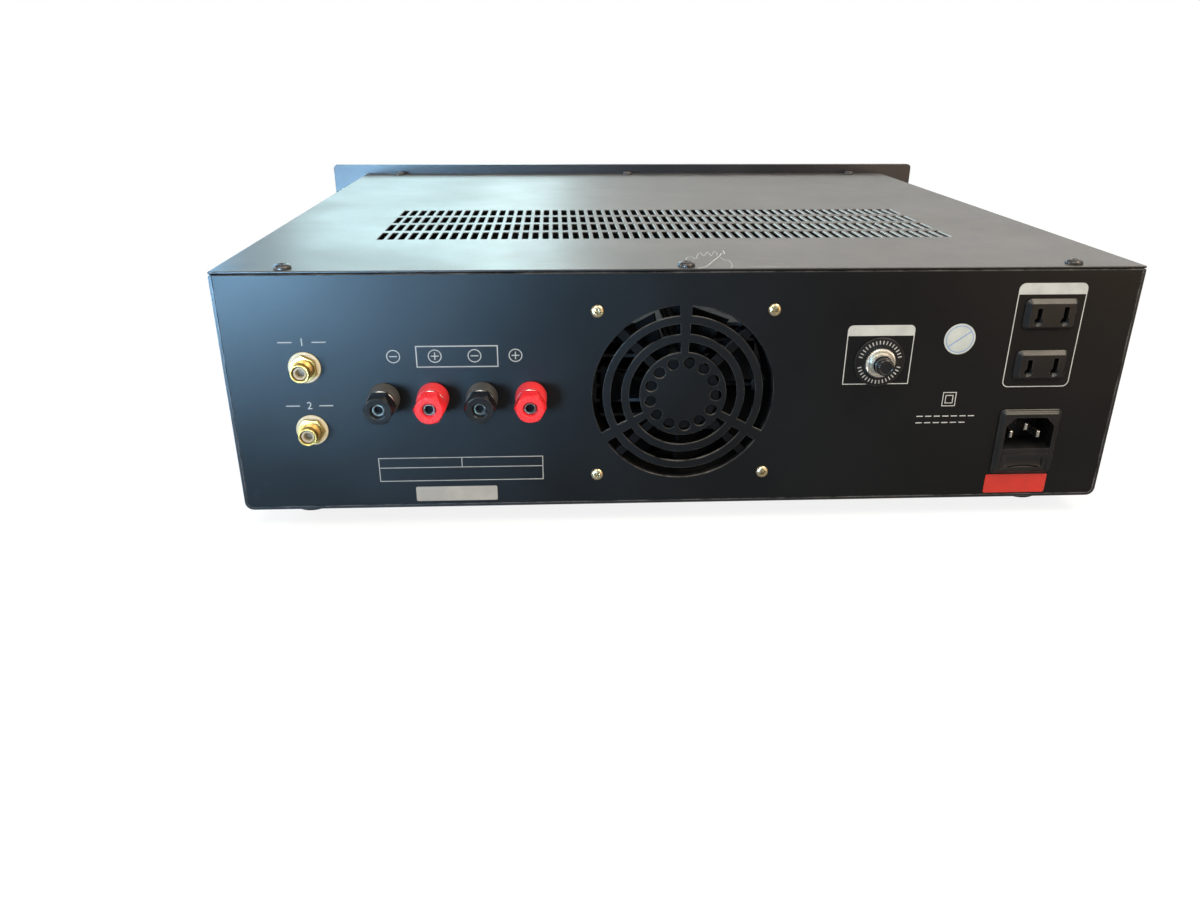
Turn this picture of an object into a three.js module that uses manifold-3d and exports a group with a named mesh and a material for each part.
// A two-channel power amplifier for a 19 inch rack, three units high, in millimetres.
// The front faces -Y, the rear panel +Y, and +Z is up. The origin is on the ground, in the outline's middle.
// The case is a folded tray with a slotted lid. The rear panel carries a fan, jacks, terminals and sockets.
import * as THREE from "three";
import { mergeVertices } from "three/addons/utils/BufferGeometryUtils.js";
import Module from "manifold-3d";

const wasm = await Module();
wasm.setup();

// Clearances and facets
const seatGap = 0.1; // between sheets and pieces that rest on each other
const runGap = 0.3; // around what turns, slides or is set in a turned group
const overrun = 1; // how far a cutting tool passes the faces it cuts
const lap = 0.2; // how far pieces of one solid run into each other before they are joined
const weld = 1e-4;
const fineSides = 24;
const roundSides = 14;
const smallSides = 10;
const holeSides = 8;
const tinySides = 6;
const bendSteps = 3;
const cornerSteps = 2;

// Case of folded steel sheet
const caseWidth = 430;
const caseHeight = 118.3;
const caseDepth = 380.2;
const traySheet = 1.5;
const trayBend = 4;
const lidSheet = 1.2;
const panelSheet = 1.5;
const flangeWidth = 12;
const flangeBend = 2;

// Slots in the lid: rows run across the case, counted from the rear
const ventColumns = 57;
const ventRows = 4;
const ventPitch = 5.44;
const ventWidth = 3.2;
const ventLength = 20.5;
const ventRowPitch = 26.6;
const ventSetback = 87.6;

// Front plate with ears for the rack
const rackWidth = 482.6;
const rackHeight = 132.5;
const frontSheet = 4;
const frontCorner = 3;
const rackSlotInset = 8.75; // from the end of the plate to the middle of its slots
const rackSlotRise = 88.9;
const rackSlotLength = 10.3;
const rackSlotHeight = 6.8;

// Rubber feet
const footHeight = 10;
const footTopRadius = 11;
const footBaseRadius = 9.5;
const footEdge = 1.5;
const footCupRadius = 5;
const footCupDepth = 4;
const footInset = 26;
const footSetback = 27;

// Fan and the grille stamped in the rear panel
const fanDrop = 60.6; // from the top of the case to the axis
const fanSize = 92;
const fanCorner = 4;
const fanDepth = 25.4;
const fanFlange = 3.6;
const fanWall = 1.8;
const fanBoreRadius = 43.6;
const fanScrewSpan = 82.5;
const fanScrewRadius = 2.1;
const fanHubRadius = 18;
const fanMotorDepth = 3;
const fanStruts = 4;
const fanStrutWidth = 4;
const fanBlades = 7;
const fanBladeThickness = 1.6;
const fanBladeSweep = 34; // chord of a blade, along its slope
const fanRootChordShare = 0.75; // of the chord at the tip
const fanRootPitch = 48; // degrees from the plane of the fan
const fanTipPitch = 30;
const fanBladeSteps = 4;
const grilleRadius = 43.7;
const grilleSlot = 5;
const grilleRings = 3;
const grilleRingPitch = 8.85;
const grilleSpokes = 3;
const grilleSpokeOutside = 5.7;
const grilleSpokeInside = 3.7;
const grilleHoles = 13;
const grilleHoleRadius = 2.85;
const grilleHoleCircle = 16;
const grilleHoleTurn = 9; // degrees that the first hole stands beside the top spoke
const grilleStep = 15; // degrees between points of a slot's edge

// Input jacks, one above the other
const jackInset = 37.5; // from the side of the case
const jackDrops = [44.9, 76];
const jackThreadRadius = 4.75;
const jackThreadLength = 5.6;
const jackShellRadius = 4.15;
const jackShellBore = 3.2;
const jackReach = 10.4;
const jackFlangeRadius = 6.5;
const jackFlange = 1.8;
const jackTailRadius = 3;
const jackTail = 6;
const jackPinBore = 1.6;
const jackPinDepth = 7;
const jackInsulatorSink = 0.7;
const jackWasherRadius = 7.5;
const jackWasher = 1;
const jackNutAcross = 11.4;
const jackNut = 2.4;

// Loudspeaker terminals, four in a row
const postCount = 4;
const postPitch = 23.1;
const postOffset = 107.5; // from the middle of the case to the middle of the row
const postDrop = 60.4;
const postCollarRadius = 7.5;
const postCollarTip = 7.2;
const postCollarLength = 8.6;
const postNeckRadius = 4.6;
const postNeckLength = 4;
const postWasherRadius = 6.4;
const postWasher = 0.8;
const postCapAcross = 13;
const postCapRadius = 7.4;
const postCapLength = 9.2;
const postCapChamfer = 1.3;
const postCapBore = 3.6;
const postStudRadius = 2.9;
const postStudBore = 2;
const postStudBoreDepth = 14;
const postStudSink = 0.9; // how far the stud's end lies inside the cap
const postInsideLength = 12;
const postInsideNutAcross = 9;
const postInsideNut = 3.5;

// Circuit breaker with its reset button
const breakerOffset = 93.8;
const breakerDrop = 45.3;
const breakerPlateRadius = 12.1;
const breakerPlate = 0.6;
const breakerBushRadius = 5.5;
const breakerBushTip = 4.9;
const breakerBushReach = 5.4;
const breakerBore = 4.4;
const breakerBoreDepth = 9;
const breakerNutRadius = 7.3;
const breakerNutTooth = 0.5;
const breakerNutTeeth = 24;
const breakerNut = 2;
const breakerBodySide = 15;
const breakerBodyLength = 28;
const buttonRadius = 4.1;
const buttonReach = 10.2;
const buttonChamfer = 0.7;
const buttonInside = 4;

// Mains outlets, one above the other
const outletInset = 41.9;
const outletDrops = [22.7, 47.8];
const outletWidth = 25.7;
const outletHeight = 15.4;
const outletCorner = 1.2;
const outletReach = 2.6;
const outletBevel = 1.1;
const outletBodyWidth = 22.6;
const outletBodyHeight = 12.6;
const outletBodyDepth = 18;
const outletBladePitch = 12.7;
const outletBladeWidth = 2.2;
const outletBladeHeight = 7.2;
const outletBladeDepth = 14;

// Mains inlet with a fuse drawer
const inletInset = 41.7;
const inletDrop = 87.7;
const inletWidth = 31;
const inletHeight = 34.6;
const inletCorner = 2.4;
const inletRim = 1.2;
const inletStep = 1;
const inletStepInset = 0.9;
const inletBodyWidth = 27.2;
const inletBodyHeight = 31;
const inletBodyDepth = 24;
const inletMouthWidth = 24.3;
const inletMouthHeight = 16.4;
const inletMouthChamfer = 4.4;
const inletMouthDepth = 17;
const inletMouthRise = 5.1; // of the mouth's middle above the middle of the rim
const inletPinPitch = 14;
const inletPinRise = 4;
const inletPinWidth = 2;
const inletPinHeight = 4;
const inletPinSink = 3.6;
const inletCarrier = 3;
const drawerWidth = 23.6;
const drawerHeight = 9.6;
const drawerDepth = 19;
const drawerFront = 2;
const drawerLift = 2.1; // from the lower edge of the rim to the drawer
const drawerWall = 1.2;
const drawerGrip = 1.1;
const fuseRadius = 2.6;
const fuseLength = 16;
const fuseCapRadius = 2.9;
const fuseCapLength = 4.5;

// Front controls: the outer ones are measured from the sides of the case, and the others from them
const knobInset = 65;
const knobPitch = 90;
const knobSkirtRadius = 17;
const knobSkirt = 3;
const knobRadius = 13;
const knobReach = 18;
const knobEdge = 1.2;
const knobFlutes = 12;
const knobFluteDepth = 0.7;
const knobPointerWidth = 1.6;
const knobPointerDepth = 0.8;
const knobStand = 1.2; // from the front plate to the skirt
const shaftRadius = 3;
const shaftInside = 6;
const bushRadius = 4.5;
const potRadius = 8.5;
const potDepth = 10;
const potLug = 6;
const potLugWidth = 12;
const potLugSheet = 1.5;
const switchInset = 45;
const switchWidth = 22;
const switchHeight = 30;
const switchRim = 2;
const switchWall = 3;
const switchBodyDepth = 20;
const rockerHalfHeight = 11;
const rockerFace = 3.2; // from the pivot to the middle of the face
const rockerTilt = 9; // degrees from level to either side
const rockerDepth = 6;
const pivotSink = 1.6; // of the pivot behind the rim's face
const pivotRadius = 1.4;
const pivotSeat = 0.8; // how far the rocker's pin enters each wall of the housing
const lampOffset = 30; // from the middle of the switch
const lampRadius = 2.4;
const lampReach = 2.2;
const lampTail = 8;

// Heat sink, boards and supply inside the case
const sinkWidth = 92;
const sinkHeight = 98;
const sinkLength = 168;
const sinkWall = 6;
const sinkFloor = 5;
const sinkFin = 1.8;
const sinkFinPitch = 8;
const sinkFins = 10;
const sinkFinLength = 34;
const sinkGap = 5; // between the fan and the heat sink
const boardSheet = 1.6;
const boardStandoff = 8;
const boardStandoffRadius = 3;
const boardMargin = 5;
const amplifierBoardWidth = 104;
const amplifierBoardLength = 150;
const supplyBoardWidth = 92;
const supplyBoardLength = 112;
const boardGap = 8; // between the heat sink and a board
const transistorCount = 6;
const transistorWidth = 16;
const transistorHeight = 21;
const transistorDepth = 5;
const transistorPitch = 23;
const transistorLift = 1.5; // from the board to the packages
const clampBar = 2.5;
const clampBarHeight = 9;
const clampSideGap = 0.2;
const canRadius = 17.5;
const canHeight = 58;
const canEdge = 1.5;
const canPitch = 50;
const coreRadius = 56;
const coreHoleRadius = 19;
const coreHeight = 48;
const coreEdge = 9;
const coreGap = 1.5; // rubber pad under the core
const coreInset = 97; // from the side of the case
const coreSetback = 95.2; // from the front of the case
const clampRadius = 44;
const clampSheet = 2;
const clampDish = 3;
const clampBoltRadius = 4;
const clampHeadRadius = 7;
const clampHead = 5;

// Places worked out from the sizes above
const rearReach = postCollarLength + postWasher + postCapLength + 2 * seatGap + seatGap;
const knobFaceReach = knobStand + knobReach;
const wholeDepth = rearReach + caseDepth + seatGap + frontSheet + knobFaceReach;
const rearFaceY = wholeDepth / 2 - rearReach;
const frontFaceY = rearFaceY - caseDepth - seatGap - frontSheet;
const half = (size) => size / 2;
const turn = (share) => share * 2 * Math.PI;
const radians = THREE.MathUtils.degToRad;

// Finishes
function finish(color, roughness, metalness) {
  return new THREE.MeshStandardMaterial({ color, roughness, metalness });
}

const blackPaint = finish(0x1c1e21, 0.42, 0.1);
const frontPaint = finish(0x17181a, 0.38, 0.2);
const blackPlastic = finish(0x141414, 0.35, 0);
const blackMatte = finish(0x3a3a38, 0.6, 0);
const redPlastic = finish(0xc42338, 0.3, 0);
const gold = finish(0xd9a93f, 0.25, 1);
const nickel = finish(0xb9b4a2, 0.3, 1);
const zinc = finish(0xc9b98a, 0.35, 1);
const cream = finish(0xe8deb8, 0.5, 0);
const white = finish(0xe9e6da, 0.4, 0);
const rubber = finish(0x161616, 0.8, 0);
const aluminium = finish(0xa8abad, 0.35, 1);
const boardGreen = finish(0x1f5a35, 0.5, 0);
const canBlue = finish(0x1d2f52, 0.35, 0);
const tapeYellow = finish(0xb58a3a, 0.5, 0);
const glass = finish(0xdfe6e6, 0.1, 0);
const lampGreen = finish(0x2faf4a, 0.2, 0);

// A closed mesh as a solid that can be joined and cut
function toSolid(geometry) {
  const bare = geometry.clone();
  bare.deleteAttribute("normal");
  bare.deleteAttribute("uv");
  const merged = mergeVertices(bare, weld);
  return new wasm.Manifold(
    new wasm.Mesh({
      numProp: 3,
      vertProperties: merged.attributes.position.array,
      triVerts: new Uint32Array(merged.index.array),
    }),
  );
}

function toGeometry(solid) {
  const { vertProperties, triVerts } = solid.getMesh();
  const geometry = new THREE.BufferGeometry();
  geometry.setAttribute("position", new THREE.BufferAttribute(vertProperties, 3));
  geometry.setIndex(new THREE.BufferAttribute(triVerts, 1));
  const flat = geometry.toNonIndexed();
  flat.computeVertexNormals();
  return flat;
}

const joined = (...pieces) => toGeometry(pieces.map(toSolid).reduce((whole, piece) => whole.add(piece)));
const common = (a, b) => toGeometry(toSolid(a).intersect(toSolid(b)));

function cut(blank, ...tools) {
  return toGeometry(tools.map(toSolid).reduce((left, tool) => left.subtract(tool), toSolid(blank)));
}

// Points along an arc about a centre, both ends included, in a shape's own plane
function arc(x, y, radius, from, to, steps) {
  return Array.from({ length: steps + 1 }, (_, i) => {
    const angle = from + ((to - from) * i) / steps;
    return new THREE.Vector2(x + radius * Math.cos(angle), y + radius * Math.sin(angle));
  });
}

const circle = (x, y, radius, sides) => arc(x, y, radius, 0, turn(1 - 1 / sides), sides - 1);

// A hole's flats, and not its corners, lie at its radius, so a round piece of any facets passes
const flatsAt = (radius, sides) => radius / Math.cos(half(turn(1 / sides)));
const roundHole = (x, y, radius, sides) => circle(x, y, flatsAt(radius, sides), sides);

function rectangle(x, y, width, height) {
  const corners = [[-1, -1], [1, -1], [1, 1], [-1, 1]];
  return corners.map(([i, j]) => new THREE.Vector2(x + i * half(width), y + j * half(height)));
}

// A rectangle whose corner radii are given from the lower left, anticlockwise; a zero is a sharp corner
function roundedRectangle(x, y, width, height, radii, steps = cornerSteps) {
  const corners = [[-1, -1], [1, -1], [1, 1], [-1, 1]];
  return corners.flatMap(([i, j], k) => {
    const radius = Math.min(radii[k], half(width), half(height));
    const centreX = x + i * (half(width) - radius);
    const centreY = y + j * (half(height) - radius);
    if (radius === 0) return [new THREE.Vector2(centreX, centreY)];
    const start = Math.PI + half(Math.PI) * k;
    return arc(centreX, centreY, radius, start, start + half(Math.PI), steps);
  });
}

// A flat plate lying on the ground plane, with its holes, from its underside up
function lying(outline, holes, height) {
  const shape = new THREE.Shape(outline);
  shape.holes = holes.map((hole) => new THREE.Path(hole));
  return new THREE.ExtrudeGeometry(shape, { depth: height, bevelEnabled: false });
}

// The same plate stood up across the case: its face is at y = 0 and its thickness runs to -Y
const standing = (outline, holes, depth) => lying(outline, holes, depth).rotateX(half(Math.PI));

// A turned piece about the Y axis: its outline lists radius and place along the axis, from the inner end out
function turned(outline, sides = roundSides) {
  return new THREE.LatheGeometry(
    outline.map(([radius, along]) => new THREE.Vector2(radius, along)),
    sides,
  );
}

const upright = (geometry) => geometry.rotateX(half(Math.PI));
const moved = (geometry, x, y, z) => geometry.translate(x, y, z);

function rod(radius, from, to, sides = smallSides) {
  return turned([[0, from], [radius, from], [radius, to], [0, to]], sides);
}

const drill = (radius, from, to, sides = smallSides) => rod(flatsAt(radius, sides), from, to, sides);

function ring(bore, outer, from, to, sides = smallSides) {
  const inner = flatsAt(bore, sides);
  return turned([[inner, from], [outer, from], [outer, to], [inner, to], [inner, from]], sides);
}

function block([x0, x1], [y0, y1], [z0, z1]) {
  return moved(
    new THREE.BoxGeometry(x1 - x0, y1 - y0, z1 - z0),
    half(x0 + x1),
    half(y0 + y1),
    half(z0 + z1),
  );
}

// A hexagonal bar about the Y axis with a flat at the bottom
function hexagon(acrossFlats, from, to) {
  const radius = half(acrossFlats) / Math.cos(turn(1 / 12));
  const bar = new THREE.CylinderGeometry(radius, radius, to - from, 6).rotateY(turn(1 / 12));
  return moved(bar, 0, half(from + to), 0);
}

// The outline of a folded sheet whose middle line passes the corners: two places and a bend radius each
function foldedSheet(corners, sheet) {
  const left = [];
  const right = [];
  const put = (point, direction) => {
    const aside = new THREE.Vector2(-direction.y, direction.x).multiplyScalar(half(sheet));
    left.push(point.clone().add(aside));
    right.unshift(point.clone().sub(aside));
  };
  const at = (i) => new THREE.Vector2(corners[i][0], corners[i][1]);
  const heading = (i) => at(i + 1).sub(at(i)).normalize();
  put(at(0), heading(0));
  for (let i = 1; i < corners.length - 1; i += 1) {
    const before = heading(i - 1);
    const after = heading(i);
    const bend = Math.atan2(before.cross(after), before.dot(after));
    const radius = corners[i][2];
    const side = new THREE.Vector2(-before.y, before.x).multiplyScalar(Math.sign(bend) * radius);
    const start = at(i).sub(before.clone().multiplyScalar(radius * Math.tan(half(Math.abs(bend)))));
    const centre = start.clone().add(side);
    for (let step = 0; step <= bendSteps; step += 1) {
      const angle = (bend * step) / bendSteps;
      const point = start.clone().rotateAround(centre, angle);
      put(point, before.clone().rotateAround(new THREE.Vector2(), angle));
    }
  }
  put(at(corners.length - 1), heading(corners.length - 2));
  return [...left, ...right];
}

const named = (group, name, geometry, material, x = 0, y = 0, z = 0) => {
  const mesh = new THREE.Mesh(geometry, material);
  mesh.name = name;
  mesh.position.set(x, y, z);
  group.add(mesh);
  return mesh;
};

// The inside of the case, which panels, flanges and boards follow
const innerWidth = caseWidth - 2 * traySheet;
const panelWidth = innerWidth - 2 * seatGap;
const panelBottom = traySheet + seatGap;
const panelTop = caseHeight - lidSheet - seatGap;
const panelHeight = panelTop - panelBottom;
const panelCorner = Math.max(trayBend - traySheet, 0);

// Tray: bottom and sides in one folded sheet, with a flange along the top of each side
function trayGeometry() {
  const sideX = half(caseWidth) - half(traySheet);
  const lipX = half(caseWidth) - flangeWidth;
  const topZ = panelTop - half(traySheet);
  const bottomZ = half(traySheet);
  const wide = trayBend - half(traySheet);
  const tight = flangeBend - half(traySheet);
  const outline = foldedSheet(
    [
      [-lipX, topZ],
      [-sideX, topZ, tight],
      [-sideX, bottomZ, wide],
      [sideX, bottomZ, wide],
      [sideX, topZ, tight],
      [lipX, topZ],
    ],
    traySheet,
  );
  const sheet = standing(outline, [], caseDepth);
  const notchDepth = flangeWidth + 2 * seatGap;
  const notches = [0, notchDepth - caseDepth].map((y) =>
    block(
      [-half(innerWidth), half(innerWidth)],
      [y - notchDepth - overrun * Math.sign(-y), y + overrun * (y === 0 ? 1 : 0)],
      [panelTop - 2 * flangeBend, panelTop + overrun],
    ),
  );
  return cut(sheet, ...notches);
}

// Lid: a flat sheet with rows of slots over the heat sink
function lidGeometry() {
  const slots = [];
  for (let row = 0; row < ventRows; row += 1) {
    const rear = half(ventLength) - ventSetback - row * ventRowPitch;
    for (let column = 0; column < ventColumns; column += 1) {
      const left = (column - half(ventColumns - 1)) * ventPitch - half(ventWidth);
      slots.push(block([left, left + ventWidth], [rear - ventLength, rear], [-overrun, lidSheet + overrun]));
    }
  }
  const sheet = block([-half(caseWidth), half(caseWidth)], [-caseDepth, 0], [0, lidSheet]);
  return cut(sheet, ...slots);
}

// One slot of the grille between two spokes; the spokes are wider outside than inside
function grilleOpening(outer, inner, spoke) {
  const innermost = grilleRadius - grilleSlot - (grilleRings - 1) * grilleRingPitch;
  const spokeAt = (radius) =>
    THREE.MathUtils.mapLinear(radius, innermost, grilleRadius, grilleSpokeInside, grilleSpokeOutside);
  const middle = turn(0.25 + spoke / grilleSpokes);
  const next = middle + turn(1 / grilleSpokes);
  const edge = (radius) => Math.asin(half(spokeAt(radius)) / radius);
  const steps = Math.round(360 / grilleSpokes / grilleStep);
  return [
    ...arc(0, 0, outer, middle + edge(outer), next - edge(outer), steps),
    ...arc(0, 0, inner, next - edge(inner), middle + edge(inner), steps),
  ];
}

function grilleHolesAt(x, z) {
  const openings = [];
  for (let ringNumber = 0; ringNumber < grilleRings; ringNumber += 1) {
    const outer = grilleRadius - ringNumber * grilleRingPitch;
    for (let spoke = 0; spoke < grilleSpokes; spoke += 1) {
      openings.push(grilleOpening(outer, outer - grilleSlot, spoke));
    }
  }
  for (let hole = 0; hole < grilleHoles; hole += 1) {
    const angle = turn(0.25 + hole / grilleHoles) + radians(grilleHoleTurn);
    const holeX = grilleHoleCircle * Math.cos(angle);
    const holeZ = grilleHoleCircle * Math.sin(angle);
    openings.push(circle(holeX, holeZ, grilleHoleRadius, holeSides));
  }
  const place = new THREE.Vector2(x, z);
  return openings.map((opening) => opening.map((point) => point.add(place)));
}

// Places on the rear panel, seen in the case's own frame: x to the left of someone who looks at the rear
const rearHeight = (drop) => caseHeight - drop;
const jackX = half(caseWidth) - jackInset;
const outletX = outletInset - half(caseWidth);
const inletX = inletInset - half(caseWidth);
const breakerX = -breakerOffset;
const postX = (number) => postOffset + (half(postCount - 1) - number) * postPitch;
const corners = [[1, 1], [-1, 1], [-1, -1], [1, -1]];

// Places on the front plate: x runs as on the rear, so the knobs stand to the right of someone in front
const rackSlotSpan = rackWidth - 2 * rackSlotInset;
const knobPlaces = [half(caseWidth) - knobInset - knobPitch, half(caseWidth) - knobInset];
const switchPlace = switchInset - half(caseWidth);
const lampPlace = switchPlace + lampOffset;

// A panel between the tray's sides, with one flange under the lid and one on the tray's floor
function foldedPanel(holes, flangeReach) {
  const middle = half(panelBottom + panelTop);
  const radii = [panelCorner, panelCorner, 0, 0];
  const face = standing(roundedRectangle(0, middle, panelWidth, panelHeight, radii), holes, panelSheet);
  const flangeX = half(panelWidth) - panelCorner;
  const flanges = [panelTop - panelSheet, panelBottom].map((low) =>
    block([-flangeX, flangeX], flangeReach, [low, low + panelSheet]),
  );
  return joined(face, ...flanges);
}

// Rear panel: face, grille and cut-outs
function rearPanelGeometry() {
  const jackHoles = jackDrops.map((drop) =>
    roundHole(jackX, rearHeight(drop), jackThreadRadius + seatGap, smallSides),
  );
  const postHoles = Array.from({ length: postCount }, (_, i) =>
    roundHole(postX(i), rearHeight(postDrop), postNeckRadius + seatGap, smallSides),
  );
  const screwHoles = corners.map(([i, j]) =>
    circle(i * half(fanScrewSpan), rearHeight(fanDrop) + j * half(fanScrewSpan), fanScrewRadius, tinySides),
  );
  const outletHoles = outletDrops.map((drop) =>
    rectangle(outletX, rearHeight(drop), outletBodyWidth + 2 * seatGap, outletBodyHeight + 2 * seatGap),
  );
  const holes = [
    ...grilleHolesAt(0, rearHeight(fanDrop)),
    ...jackHoles,
    ...postHoles,
    ...screwHoles,
    ...outletHoles,
    roundHole(breakerX, rearHeight(breakerDrop), breakerBushRadius + seatGap, roundSides),
    rectangle(inletX, rearHeight(inletDrop), inletBodyWidth + 2 * seatGap, inletBodyHeight + 2 * seatGap),
  ];
  return foldedPanel(holes, [-flangeWidth, lap - panelSheet]);
}

// Holes for the controls, alike in the sub-panel and in the front plate that covers it
function controlHoles() {
  const level = half(caseHeight);
  const width = switchWidth - 2 * switchWall + 2 * runGap;
  const height = switchHeight - 2 * switchWall + 2 * runGap;
  return [
    ...knobPlaces.map((place) => roundHole(place, level, bushRadius + seatGap, smallSides)),
    rectangle(switchPlace, level, width, height),
    roundHole(lampPlace, level, lampRadius + seatGap, smallSides),
  ];
}

// Front sub-panel: the same folded form, with its flanges towards the front plate
const subPanelGeometry = () => foldedPanel(controlHoles(), [-lap, flangeWidth - panelSheet]);

// Front plate: wider and higher than the case, with two long slots in each ear
function frontPlateGeometry() {
  const radii = [frontCorner, frontCorner, frontCorner, frontCorner];
  const level = half(caseHeight);
  const outline = roundedRectangle(0, level, rackWidth, rackHeight, radii);
  const slotRadius = half(rackSlotHeight);
  const slots = corners.map(([i, j]) =>
    roundedRectangle(
      i * half(rackSlotSpan),
      level + j * half(rackSlotRise),
      rackSlotLength,
      rackSlotHeight,
      [slotRadius, slotRadius, slotRadius, slotRadius],
    ),
  );
  return standing(outline, [...slots, ...controlHoles()], frontSheet);
}

function footGeometry() {
  const top = footHeight - seatGap;
  return upright(
    turned([
      [0, footCupDepth],
      [footCupRadius, footCupDepth],
      [footCupRadius, 0],
      [footBaseRadius - footEdge, 0],
      [footBaseRadius, footEdge],
      [footTopRadius, top - footEdge],
      [footTopRadius - half(footEdge), top],
      [0, top],
    ], smallSides),
  );
}

// Fan frame: a short tube between two square flanges, with a motor seat on struts beside the grille
function fanFrameGeometry() {
  const radii = [fanCorner, fanCorner, fanCorner, fanCorner];
  const screws = corners.map(([i, j]) =>
    circle(i * half(fanScrewSpan), j * half(fanScrewSpan), fanScrewRadius, tinySides),
  );
  const bore = circle(0, 0, fanBoreRadius, fineSides);
  const outline = roundedRectangle(0, 0, fanSize, fanSize, radii);
  const plate = () => standing(outline, [bore, ...screws], fanFlange);
  const tubeRadius = Math.min(fanBoreRadius + fanWall, half(fanSize));
  const tube = moved(
    standing(circle(0, 0, tubeRadius, fineSides), [bore], fanDepth - 2 * fanFlange + 2 * lap),
    0,
    -fanFlange + lap,
    0,
  );
  const seat = rod(fanHubRadius, -fanMotorDepth, 0, roundSides);
  const struts = Array.from({ length: fanStruts }, (_, i) => {
    const along = [half(fanHubRadius), fanBoreRadius + half(fanWall)];
    const bar = block(along, [-fanMotorDepth, 0], [-half(fanStrutWidth), half(fanStrutWidth)]);
    return bar.rotateY(turn((i + 0.5) / fanStruts));
  });
  return joined(plate(), moved(plate(), 0, fanFlange - fanDepth, 0), tube, seat, ...struts);
}

// Fan rotor: a cup with twisted blades; each blade is a strip whose slope eases from the root to the tip
function bladeGeometry(root, tip, depth) {
  const points = [];
  for (let step = 0; step <= fanBladeSteps; step += 1) {
    const share = step / fanBladeSteps;
    const radius = THREE.MathUtils.lerp(root, tip, share);
    const pitch = radians(THREE.MathUtils.lerp(fanRootPitch, fanTipPitch, share));
    const longest = (depth - fanBladeThickness) / Math.sin(pitch);
    const chord = Math.min(fanBladeSweep, longest) * THREE.MathUtils.lerp(fanRootChordShare, 1, share);
    for (const [side, skin] of [[-1, -1], [1, -1], [1, 1], [-1, 1]]) {
      const along = side * half(chord);
      const through = skin * half(fanBladeThickness);
      const swing = (along * Math.cos(pitch) - through * Math.sin(pitch)) / radius;
      const height = along * Math.sin(pitch) + through * Math.cos(pitch);
      points.push(new THREE.Vector3(radius * Math.cos(swing), height, radius * Math.sin(swing)));
    }
  }
  const faces = [[0, 1, 2], [0, 2, 3]];
  for (let step = 0; step < fanBladeSteps; step += 1) {
    for (let corner = 0; corner < 4; corner += 1) {
      const a = step * 4 + corner;
      const b = step * 4 + ((corner + 1) % 4);
      faces.push([a, a + 4, b + 4], [a, b + 4, b]);
    }
  }
  const last = fanBladeSteps * 4;
  faces.push([last, last + 2, last + 1], [last, last + 3, last + 2]);
  const geometry = new THREE.BufferGeometry().setFromPoints(points);
  geometry.setIndex(faces.flat());
  return geometry;
}

function rotorGeometry() {
  const front = -fanMotorDepth - runGap;
  const back = fanFlange - fanDepth + half(fanFlange);
  const hub = rod(fanHubRadius, back, front, roundSides);
  const middle = half(front + back);
  const root = fanHubRadius - fanBladeThickness;
  const tip = fanBoreRadius - 1.5 * fanBladeThickness;
  const blades = Array.from({ length: fanBlades }, (_, i) =>
    moved(bladeGeometry(root, tip, front - back), 0, middle, 0).rotateY(turn(i / fanBlades)),
  );
  return joined(hub, ...blades);
}

// Input jack: a gold shell through the panel, with a flange and a solder tail inside
function jackGeometry() {
  const inside = -panelSheet - seatGap;
  return turned([
    [0, inside - jackFlange - jackTail],
    [jackTailRadius, inside - jackFlange - jackTail],
    [jackTailRadius, inside - jackFlange],
    [jackFlangeRadius, inside - jackFlange],
    [jackFlangeRadius, inside],
    [jackThreadRadius, inside],
    [jackThreadRadius, jackThreadLength],
    [jackShellRadius, jackThreadLength],
    [jackShellRadius, jackReach - seatGap],
    [jackShellBore, jackReach],
    [jackShellBore, inside + half(panelSheet)],
    [0, inside + half(panelSheet)],
  ]);
}

function jackInsulatorGeometry() {
  const outer = jackShellBore - seatGap;
  const end = jackReach - jackInsulatorSink;
  return turned(
    [
      [0, 0],
      [outer, 0],
      [outer, end],
      [jackPinBore, end],
      [jackPinBore, end - jackPinDepth],
      [0, end - jackPinDepth],
    ],
    smallSides,
  );
}

function jackNutGeometry() {
  const from = jackWasher + 2 * seatGap;
  const bar = hexagon(jackNutAcross, from, from + jackNut);
  return cut(bar, drill(jackThreadRadius + seatGap, from - overrun, from + jackNut + overrun));
}

// Terminal collar: the moulding that insulates the stud from the panel, with a neck in the panel's hole
function collarGeometry() {
  const bore = flatsAt(postStudRadius + seatGap, smallSides);
  return turned([
    [bore, -postNeckLength],
    [postNeckRadius, -postNeckLength],
    [postNeckRadius, seatGap],
    [postCollarRadius, seatGap],
    [postCollarRadius, half(postCollarLength)],
    [postCollarTip, postCollarLength],
    [bore, postCollarLength],
    [bore, -postNeckLength],
  ], smallSides);
}

// Terminal stud: bored for a 4 mm plug, with its fixing nut on the inner end
function studGeometry() {
  const end = rearReach - postStudSink;
  const stud = turned(
    [
      [0, -postInsideLength],
      [postStudRadius, -postInsideLength],
      [postStudRadius, end],
      [postStudBore, end],
      [postStudBore, end - postStudBoreDepth],
      [0, end - postStudBoreDepth],
    ],
    smallSides,
  );
  const nutEnd = -postNeckLength - seatGap;
  return joined(stud, hexagon(postInsideNutAcross, nutEnd - postInsideNut, nutEnd));
}

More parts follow.
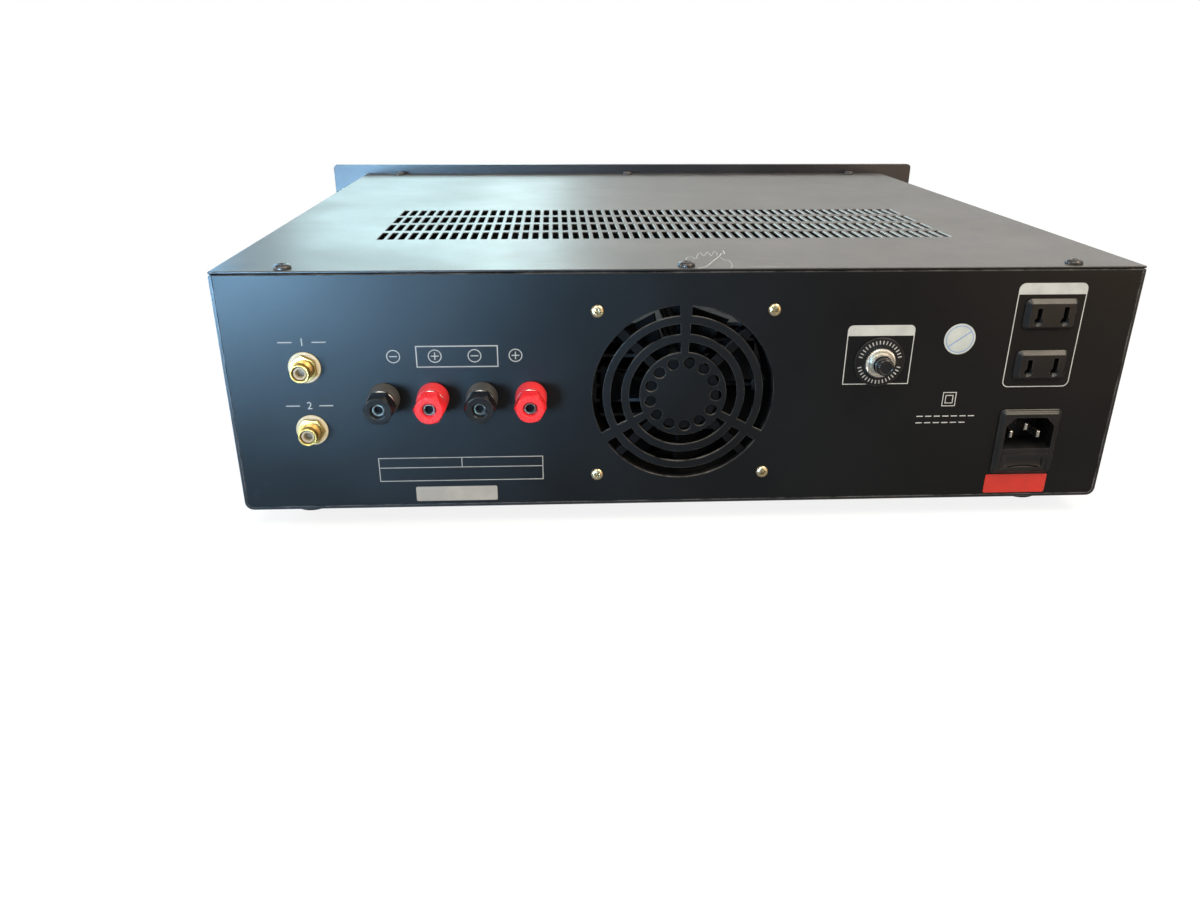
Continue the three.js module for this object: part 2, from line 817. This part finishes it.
// Terminal cap: a hexagon whose back and front corners are turned away, on the thread of the stud
function capGeometry() {
  const from = postCollarLength + postWasher + 2 * seatGap;
  const to = rearReach;
  const bar = hexagon(postCapAcross, from, to);
  const envelope = turned(
    [
      [0, from],
      [postCapRadius - postCapChamfer, from],
      [postCapRadius, from + postCapChamfer],
      [postCapRadius, to - half(postCapChamfer)],
      [postCapRadius - half(postCapChamfer), to],
      [0, to],
    ],
    12,
  );
  const throat = to - 2 * postStudSink;
  const thread = flatsAt(postStudRadius + seatGap, smallSides);
  const bore = turned(
    [
      [0, from - overrun],
      [thread, from - overrun],
      [thread, throat],
      [postCapBore, to],
      [postCapBore, to + overrun],
      [0, to + overrun],
    ],
    smallSides,
  );
  return cut(common(bar, envelope), bore);
}

// Knurled nut: a ring with a saw-tooth edge
function knurledNutGeometry() {
  const edge = Array.from({ length: 2 * breakerNutTeeth }, (_, i) => {
    const radius = breakerNutRadius - (i % 2) * breakerNutTooth;
    const angle = turn(i / (2 * breakerNutTeeth));
    return new THREE.Vector2(radius * Math.cos(angle), radius * Math.sin(angle));
  });
  const hole = roundHole(0, 0, breakerBushRadius + seatGap, roundSides);
  return moved(standing(edge, [hole], breakerNut), 0, breakerPlate + 2 * seatGap + breakerNut, 0);
}

// Breaker: a square body behind the panel, with a round bush that the button slides in
function breakerGeometry() {
  const inside = -panelSheet - seatGap;
  const side = half(breakerBodySide);
  const body = block([-side, side], [inside - breakerBodyLength, inside], [-side, side]);
  const bush = turned([
    [0, inside - lap],
    [breakerBushRadius, inside - lap],
    [breakerBushRadius, half(breakerBushReach)],
    [breakerBushTip, breakerBushReach],
    [0, breakerBushReach],
  ]);
  const bore = drill(breakerBore, -breakerBoreDepth, breakerBushReach + overrun, roundSides);
  return cut(joined(body, bush), bore);
}

function buttonGeometry() {
  return turned([
    [0, -buttonInside],
    [buttonRadius, -buttonInside],
    [buttonRadius, buttonReach - buttonChamfer],
    [buttonRadius - buttonChamfer, buttonReach],
    [0, buttonReach],
  ]);
}

// Outlet: a bevelled face in front of the panel, a body behind it and two blade slots
function outletGeometry() {
  const radii = [outletCorner, outletCorner, outletCorner, outletCorner];
  const shape = new THREE.Shape(
    roundedRectangle(0, 0, outletWidth - 2 * outletBevel, outletHeight - 2 * outletBevel, radii, 1),
  );
  const face = new THREE.ExtrudeGeometry(shape, {
    depth: outletReach - outletBevel - seatGap,
    bevelThickness: outletBevel,
    bevelSize: outletBevel,
    bevelSegments: 1,
  });
  const front = moved(face.rotateX(-half(Math.PI)), 0, seatGap, 0);
  const inFront = [seatGap, outletReach + overrun];
  const keep = block([-outletWidth, outletWidth], inFront, [-outletHeight, outletHeight]);
  const body = block(
    [-half(outletBodyWidth), half(outletBodyWidth)],
    [-outletBodyDepth, seatGap + lap],
    [-half(outletBodyHeight), half(outletBodyHeight)],
  );
  const blades = [-1, 1].map((side) => {
    const x = side * half(outletBladePitch);
    return block(
      [x - half(outletBladeWidth), x + half(outletBladeWidth)],
      [outletReach - outletBladeDepth, outletReach + overrun],
      [-half(outletBladeHeight), half(outletBladeHeight)],
    );
  });
  return cut(joined(common(front, keep), body), ...blades);
}

// Outline of the inlet's mouth: two corners are cut off beside the earth pin
function mouthOutline() {
  const x = half(inletMouthWidth);
  const z = half(inletMouthHeight);
  const c = inletMouthChamfer;
  const points = [[-x, -z], [x, -z], [x, z - c], [x - c, z], [c - x, z], [-x, z - c]];
  return points.map(([a, b]) => new THREE.Vector2(a, b + inletMouthRise));
}

const drawerRise = half(drawerHeight) + drawerLift - half(inletHeight);
const pinPlaces = [
  [-half(inletPinPitch), inletMouthRise - half(inletPinRise)],
  [0, inletMouthRise + half(inletPinRise)],
  [half(inletPinPitch), inletMouthRise - half(inletPinRise)],
];
const inletFace = seatGap + inletRim + inletStep;

// Inlet: a stepped rim and a deep body, with the plug's mouth above and the drawer's pocket below
function inletGeometry() {
  const radii = (inset) => Array(4).fill(Math.max(inletCorner - inset, 0));
  const rim = moved(
    standing(roundedRectangle(0, 0, inletWidth, inletHeight, radii(0)), [], inletRim),
    0,
    seatGap + inletRim,
    0,
  );
  const stepWidth = inletWidth - 2 * inletStepInset;
  const stepHeight = inletHeight - 2 * inletStepInset;
  const step = moved(
    standing(roundedRectangle(0, 0, stepWidth, stepHeight, radii(inletStepInset)), [], inletStep + lap),
    0,
    inletFace,
    0,
  );
  const body = block(
    [-half(inletBodyWidth), half(inletBodyWidth)],
    [-inletBodyDepth, seatGap + lap],
    [-half(inletBodyHeight), half(inletBodyHeight)],
  );
  const mouth = moved(standing(mouthOutline(), [], inletMouthDepth + overrun), 0, inletFace + overrun, 0);
  const pocket = block(
    [-half(drawerWidth) - runGap, half(drawerWidth) + runGap],
    [inletFace - drawerDepth - runGap, inletFace + overrun],
    [drawerRise - half(drawerHeight) - runGap, drawerRise + half(drawerHeight) + runGap],
  );
  const pinHoles = pinPlaces.map(([x, z]) =>
    block(
      [x - half(inletPinWidth) - seatGap, x + half(inletPinWidth) + seatGap],
      [-inletBodyDepth - overrun, inletFace],
      [z - half(inletPinHeight) - seatGap, z + half(inletPinHeight) + seatGap],
    ),
  );
  return cut(joined(rim, step, body), mouth, pocket, ...pinHoles);
}

// Contacts: three flat pins on the carrier that closes the inlet from behind
function contactsGeometry() {
  const carrierFace = -inletBodyDepth - seatGap;
  const carrier = block(
    [-half(inletBodyWidth), half(inletBodyWidth)],
    [carrierFace - inletCarrier, carrierFace],
    [inletMouthRise - half(inletMouthHeight), inletMouthRise + half(inletMouthHeight)],
  );
  const pins = pinPlaces.map(([x, z]) =>
    block(
      [x - half(inletPinWidth), x + half(inletPinWidth)],
      [carrierFace - lap, inletFace - inletPinSink],
      [z - half(inletPinHeight), z + half(inletPinHeight)],
    ),
  );
  return joined(carrier, ...pins);
}

// Drawer: a shallow tray for the fuse, with a finger grip along its front
function drawerGeometry() {
  const [x, z] = [half(drawerWidth), half(drawerHeight)];
  const body = block([-x, x], [-drawerDepth, 0], [-z, z]);
  const trough = block(
    [-x + drawerWall, x - drawerWall],
    [-drawerDepth + drawerWall, -drawerFront],
    [-z + drawerWall, z + overrun],
  );
  const gripReach = half(drawerWidth) - 2 * drawerWall;
  const grip = rod(drawerHeight, -gripReach, gripReach, fineSides).rotateZ(half(Math.PI));
  return cut(body, trough, moved(grip, 0, drawerHeight - drawerGrip, 0));
}

function fuseGeometry() {
  const tube = rod(fuseRadius, -half(fuseLength), half(fuseLength));
  const caps = [-1, 1].map((side) => {
    const end = side * half(fuseLength);
    const start = end - side * fuseCapLength;
    return rod(fuseCapRadius, Math.min(start, end), Math.max(start, end));
  });
  return joined(tube, ...caps).rotateZ(half(Math.PI));
}

// Knob: a turned skirt and a fluted grip, with the shaft that it turns and a line for the pointer
function knobGeometry() {
  const back = knobStand;
  const face = knobFaceReach;
  const samples = 2 * knobFlutes;
  const grip = Array.from({ length: samples }, (_, i) => {
    const radius = knobRadius - (i % 2) * knobFluteDepth;
    return new THREE.Vector2(radius * Math.cos(turn(i / samples)), radius * Math.sin(turn(i / samples)));
  });
  const handle = moved(standing(grip, [], face - back), 0, face, 0);
  const crown = turned(
    [
      [0, back],
      [knobSkirtRadius, back],
      [knobSkirtRadius, back + half(knobSkirt)],
      [knobRadius + knobEdge, back + knobSkirt],
      [knobRadius, back + knobSkirt + knobEdge],
      [knobRadius, face - knobEdge],
      [knobRadius - knobEdge, face],
      [0, face],
    ],
    fineSides,
  );
  const skirt = turned(
    [
      [0, back],
      [knobSkirtRadius, back],
      [knobSkirtRadius, back + half(knobSkirt)],
      [knobRadius - knobEdge, back + knobSkirt],
      [0, back + knobSkirt],
    ],
    fineSides,
  );
  const shaft = rod(shaftRadius, -frontSheet - panelSheet - shaftInside, back + lap);
  const line = block(
    [-half(knobPointerWidth), half(knobPointerWidth)],
    [face - knobPointerDepth, face + overrun],
    [half(knobRadius), knobRadius + overrun],
  );
  return cut(joined(common(handle, crown), skirt, shaft), line);
}

// Level control: a can behind the sub-panel, with the bush that leads the shaft and a tag for its leads
function potGeometry() {
  const inside = -frontSheet - panelSheet - 2 * seatGap;
  const bore = shaftRadius + runGap;
  const body = turned([
    [0, inside - potDepth],
    [potRadius, inside - potDepth],
    [potRadius, inside - seatGap],
    [0, inside - seatGap],
  ]);
  const bush = rod(bushRadius, inside - lap - seatGap, -seatGap);
  const tag = block(
    [-half(potLugWidth), half(potLugWidth)],
    [inside - half(potDepth) - potLugSheet, inside - half(potDepth)],
    [-potRadius - potLug, 0],
  );
  return cut(joined(body, bush, tag), drill(bore, inside - shaftInside - runGap, overrun));
}

// Rocker and its place: how far its ends rise, and the radius that they sweep about the pivot
const rockerWidth = switchWidth - 3 * switchWall - 2 * runGap;
const rockerRise = rockerHalfHeight * Math.tan(radians(rockerTilt));
const rockerSweep = Math.hypot(rockerHalfHeight, rockerFace + rockerRise);
const pivotY = seatGap + switchRim - pivotSink;

// Switch housing: a rim in front of the plate and a box behind it, open for the rocker
function switchHousingGeometry() {
  const width = switchWidth - 2 * switchWall;
  const height = switchHeight - 2 * switchWall;
  const radii = [switchWall, switchWall, switchWall, switchWall].map(half);
  const rim = moved(
    standing(roundedRectangle(0, 0, switchWidth, switchHeight, radii), [], switchRim),
    0,
    seatGap + switchRim,
    0,
  );
  const body = block(
    [-half(width), half(width)],
    [-switchBodyDepth, seatGap + lap],
    [-half(height), half(height)],
  );
  const room = rockerSweep + runGap;
  const wellWidth = rockerWidth + 2 * runGap;
  const well = block(
    [-half(wellWidth), half(wellWidth)],
    [pivotY - rockerDepth - 2 * runGap - rockerFace, seatGap + switchRim + overrun],
    [-room, room],
  );
  const seat = half(wellWidth) + pivotSeat + runGap;
  const bearing = drill(pivotRadius + seatGap, -seat, seat).rotateZ(half(Math.PI));
  return cut(joined(rim, body), well, moved(bearing, 0, pivotY, 0));
}

// Rocker: a hollow-faced key about a pivot along X, tilted as it lies when the set is off
function rockerGeometry() {
  const top = Math.asin((rockerFace + rockerRise) / rockerSweep);
  const upperEnd = arc(0, 0, rockerSweep, -half(top), top, bendSteps);
  const lowerEnd = upperEnd.map((point) => new THREE.Vector2(-point.x, point.y)).reverse();
  const keel = [
    new THREE.Vector2(-pivotRadius, -half(rockerDepth)),
    new THREE.Vector2(pivotRadius, -half(rockerDepth)),
  ];
  const outline = [...upperEnd, new THREE.Vector2(0, rockerFace), ...lowerEnd, ...keel];
  // The outline's first axis is turned to -Z and its second stays on Y, so the key swings about X.
  const key = moved(lying(outline, [], rockerWidth).rotateY(half(Math.PI)), -half(rockerWidth), 0, 0);
  const pinEnd = half(rockerWidth) + runGap + pivotSeat;
  return joined(key, rod(pivotRadius, -pinEnd, pinEnd).rotateZ(half(Math.PI)));
}

function lampGeometry() {
  const behind = -frontSheet - panelSheet - lampTail;
  return turned([
    [0, behind],
    [lampRadius, behind],
    [lampRadius, 0],
    [lampRadius, half(lampReach)],
    [half(lampRadius) * Math.sqrt(3), half(lampReach) + half(lampReach) / 2],
    [half(lampRadius), lampReach],
    [0, lampReach],
  ], smallSides);
}

// Heat sink: two walls with fins that face each other across the fan's air, on one floor
function heatSinkGeometry() {
  const side = half(sinkWidth);
  const inner = side - sinkWall;
  const comb = [];
  for (let fin = 0; fin < sinkFins; fin += 1) {
    const low = sinkFloor + (fin + 0.5) * sinkFinPitch;
    comb.push([inner, low], [inner - sinkFinLength, low]);
    comb.push([inner - sinkFinLength, low + sinkFin], [inner, low + sinkFin]);
  }
  const right = [[side, 0], [side, sinkHeight], [inner, sinkHeight], ...comb.reverse(), [inner, sinkFloor]];
  const left = right.map(([x, z]) => [-x, z]).reverse();
  const outline = [...right, ...left].map(([x, z]) => new THREE.Vector2(x, z));
  return standing(outline, [], sinkLength);
}

// Board: a laminate sheet on four stand-offs
function boardGeometry(width, length) {
  const top = boardStandoff + boardSheet;
  const sheet = block([-half(width), half(width)], [-half(length), half(length)], [boardStandoff, top]);
  const legs = corners.map(([i, j]) => {
    const leg = upright(rod(boardStandoffRadius, 0, boardStandoff + lap, tinySides));
    return moved(leg, i * (half(width) - boardMargin), j * (half(length) - boardMargin), 0);
  });
  return joined(sheet, ...legs);
}

// Output transistors: a row of packages held to the heat sink by one bar
function transistorsGeometry() {
  const packages = Array.from({ length: transistorCount }, (_, i) => {
    const y = (i - half(transistorCount - 1)) * transistorPitch;
    const [near, far] = [y - half(transistorWidth), y + half(transistorWidth)];
    return block([0, transistorDepth], [near, far], [0, transistorHeight]);
  });
  const reach = half(transistorCount * transistorPitch);
  const low = half(transistorHeight - clampBarHeight);
  const [back, front] = [transistorDepth - lap, transistorDepth + clampBar];
  return joined(...packages, block([back, front], [-reach, reach], [low, low + clampBarHeight]));
}

function canGeometry() {
  return upright(
    turned([
      [0, 0],
      [canRadius - half(canEdge), 0],
      [canRadius, half(canEdge)],
      [canRadius, canHeight - canEdge],
      [canRadius - canEdge, canHeight],
      [canRadius - 2 * canEdge, canHeight - half(canEdge)],
      [0, canHeight - half(canEdge)],
    ]),
  );
}

// Transformer: a wound ring with rounded edges
function coreGeometry() {
  const rim = coreRadius - coreEdge;
  const lip = half(coreEdge);
  const eye = coreHoleRadius + lip;
  const edges = [
    arc(rim, coreEdge, coreEdge, -half(Math.PI), 0, cornerSteps),
    arc(rim, coreHeight - coreEdge, coreEdge, 0, half(Math.PI), cornerSteps),
    arc(eye, coreHeight - lip, lip, half(Math.PI), Math.PI, cornerSteps),
    arc(eye, lip, lip, Math.PI, 1.5 * Math.PI, cornerSteps),
  ].flat();
  const outline = [...edges, edges[0]].map((point) => [point.x, point.y]);
  return upright(turned(outline, roundSides));
}

// Clamp: a dished disc on the core and the bolt through it to the floor
function coreClampGeometry() {
  const seat = coreGap + coreHeight + seatGap;
  const hat = seat + clampDish;
  return upright(
    turned([
      [0, 0],
      [clampBoltRadius, 0],
      [clampBoltRadius, hat - clampDish],
      [coreHoleRadius, hat - clampDish],
      [clampRadius, seat],
      [clampRadius, seat + clampSheet],
      [coreHoleRadius, seat + clampSheet],
      [clampHeadRadius, seat + clampSheet],
      [clampHeadRadius, seat + clampSheet + clampHead],
      [0, seat + clampSheet + clampHead],
    ]),
  );
}

// The whole amplifier, in groups that stand where their pieces are fixed
const amplifier = new THREE.Group();

const chassis = new THREE.Group();
chassis.position.set(0, rearFaceY, footHeight);
amplifier.add(chassis);
named(chassis, "base_tray", trayGeometry(), blackPaint);
named(chassis, "top_cover", lidGeometry(), blackPaint, 0, 0, caseHeight - lidSheet);
named(chassis, "front_subpanel", subPanelGeometry(), nickel, 0, panelSheet - caseDepth, 0);
named(chassis, "front_panel", frontPlateGeometry(), frontPaint, 0, -caseDepth - seatGap, 0);

const footNames = ["foot_rear_left", "foot_rear_right", "foot_front_right", "foot_front_left"];
corners.forEach(([i, j], number) => {
  const x = i * (half(caseWidth) - footInset);
  const y = j * (half(caseDepth) - footSetback) - half(caseDepth);
  named(chassis, footNames[number], footGeometry(), rubber, x, y, -footHeight);
});

const rear = new THREE.Group();
rear.position.copy(chassis.position);
amplifier.add(rear);
named(rear, "rear_panel", rearPanelGeometry(), blackPaint);

const fan = new THREE.Group();
fan.position.set(0, -panelSheet - seatGap, rearHeight(fanDrop));
rear.add(fan);
named(fan, "fan_frame", fanFrameGeometry(), blackPlastic);
named(fan, "fan_rotor", rotorGeometry(), blackPlastic);

jackDrops.forEach((drop, i) => {
  const jack = new THREE.Group();
  jack.position.set(jackX, 0, rearHeight(drop));
  rear.add(jack);
  named(jack, `input_jack_${i + 1}`, jackGeometry(), gold);
  named(jack, `input_insulator_${i + 1}`, jackInsulatorGeometry(), white);
  const bore = jackThreadRadius + seatGap;
  const washer = ring(bore, jackWasherRadius, seatGap, seatGap + jackWasher, roundSides);
  named(jack, `input_washer_${i + 1}`, washer, cream);
  named(jack, `input_nut_${i + 1}`, jackNutGeometry(), gold);
});

for (let i = 0; i < postCount; i += 1) {
  const post = new THREE.Group();
  post.position.set(postX(i), 0, rearHeight(postDrop));
  rear.add(post);
  const capFinish = i % 2 ? redPlastic : blackPlastic;
  const collarFinish = i % 2 ? redPlastic : blackMatte;
  named(post, `terminal_collar_${i + 1}`, collarGeometry(), collarFinish);
  named(post, `terminal_stud_${i + 1}`, studGeometry(), nickel);
  const from = postCollarLength + seatGap;
  const washer = ring(postStudRadius + seatGap, postWasherRadius, from, from + postWasher);
  named(post, `terminal_washer_${i + 1}`, washer, nickel);
  named(post, `terminal_cap_${i + 1}`, capGeometry(), capFinish);
}

const breaker = new THREE.Group();
breaker.position.set(breakerX, 0, rearHeight(breakerDrop));
rear.add(breaker);
const plateBore = breakerBushRadius + seatGap;
const breakerPlateRing = ring(plateBore, breakerPlateRadius, seatGap, seatGap + breakerPlate, roundSides);
named(breaker, "breaker_plate", breakerPlateRing, blackMatte);
named(breaker, "breaker_body", breakerGeometry(), nickel);
named(breaker, "breaker_nut", knurledNutGeometry(), nickel);
named(breaker, "reset_button", buttonGeometry(), blackPlastic);

["ac_outlet_upper", "ac_outlet_lower"].forEach((name, i) => {
  named(rear, name, outletGeometry(), blackPlastic, outletX, 0, rearHeight(outletDrops[i]));
});

const inlet = new THREE.Group();
inlet.position.set(inletX, 0, rearHeight(inletDrop));
rear.add(inlet);
named(inlet, "mains_inlet", inletGeometry(), blackPlastic);
named(inlet, "inlet_contacts", contactsGeometry(), nickel);
named(inlet, "fuse_drawer", drawerGeometry(), blackPlastic, 0, inletFace, drawerRise);
const fuseZ = drawerRise - half(drawerHeight) + drawerWall + fuseCapRadius + seatGap;
const fuseY = inletFace - half(drawerFront + drawerDepth - drawerWall);
named(inlet, "mains_fuse", fuseGeometry(), glass, 0, fuseY, fuseZ);

// The front's group is turned about, so its pieces also reach out along their own +Y
const front = new THREE.Group();
front.position.set(0, frontFaceY, footHeight + half(caseHeight));
front.rotation.z = Math.PI;
amplifier.add(front);
knobPlaces.forEach((place, i) => {
  const level = new THREE.Group();
  level.position.x = -place;
  front.add(level);
  named(level, `level_knob_${i + 1}`, knobGeometry(), blackPlastic);
  named(level, `level_pot_${i + 1}`, potGeometry(), nickel);
});
const power = new THREE.Group();
power.position.x = -switchPlace;
front.add(power);
named(power, "switch_housing", switchHousingGeometry(), blackPlastic);
const rocker = named(power, "power_rocker", rockerGeometry(), blackPlastic, 0, pivotY, 0);
rocker.rotation.x = -radians(rockerTilt);
named(front, "power_lamp", lampGeometry(), lampGreen, -lampPlace);

const inside = new THREE.Group();
inside.position.set(0, rearFaceY, footHeight + traySheet + seatGap);
amplifier.add(inside);
const sinkStart = -panelSheet - 2 * seatGap - fanDepth - sinkGap;
named(inside, "heat_sink", heatSinkGeometry(), aluminium, 0, sinkStart, 0);
const boardY = sinkStart - half(sinkLength);
const amplifierX = half(sinkWidth) + boardGap + half(amplifierBoardWidth);
const amplifierBoard = boardGeometry(amplifierBoardWidth, amplifierBoardLength);
named(inside, "amplifier_board", amplifierBoard, boardGreen, amplifierX, boardY, 0);
const transistorZ = boardStandoff + boardSheet + transistorLift;
const transistorX = half(sinkWidth) + clampSideGap;
named(inside, "output_transistors", transistorsGeometry(), blackPlastic, transistorX, boardY, transistorZ);
const supplyX = -half(sinkWidth) - boardGap - half(supplyBoardWidth);
const supplyBoard = boardGeometry(supplyBoardWidth, supplyBoardLength);
named(inside, "supply_board", supplyBoard, boardGreen, supplyX, boardY, 0);
const canZ = boardStandoff + boardSheet + seatGap;
[-1, 1].forEach((side, i) => {
  const canY = boardY + side * half(canPitch);
  named(inside, `filter_capacitor_${i + 1}`, canGeometry(), canBlue, supplyX, canY, canZ);
});
const coreX = coreInset - half(caseWidth);
const coreY = coreSetback - caseDepth;
named(inside, "power_transformer", coreGeometry(), tapeYellow, coreX, coreY, coreGap);
named(inside, "transformer_clamp", coreClampGeometry(), zinc, coreX, coreY, 0);

export default amplifier;
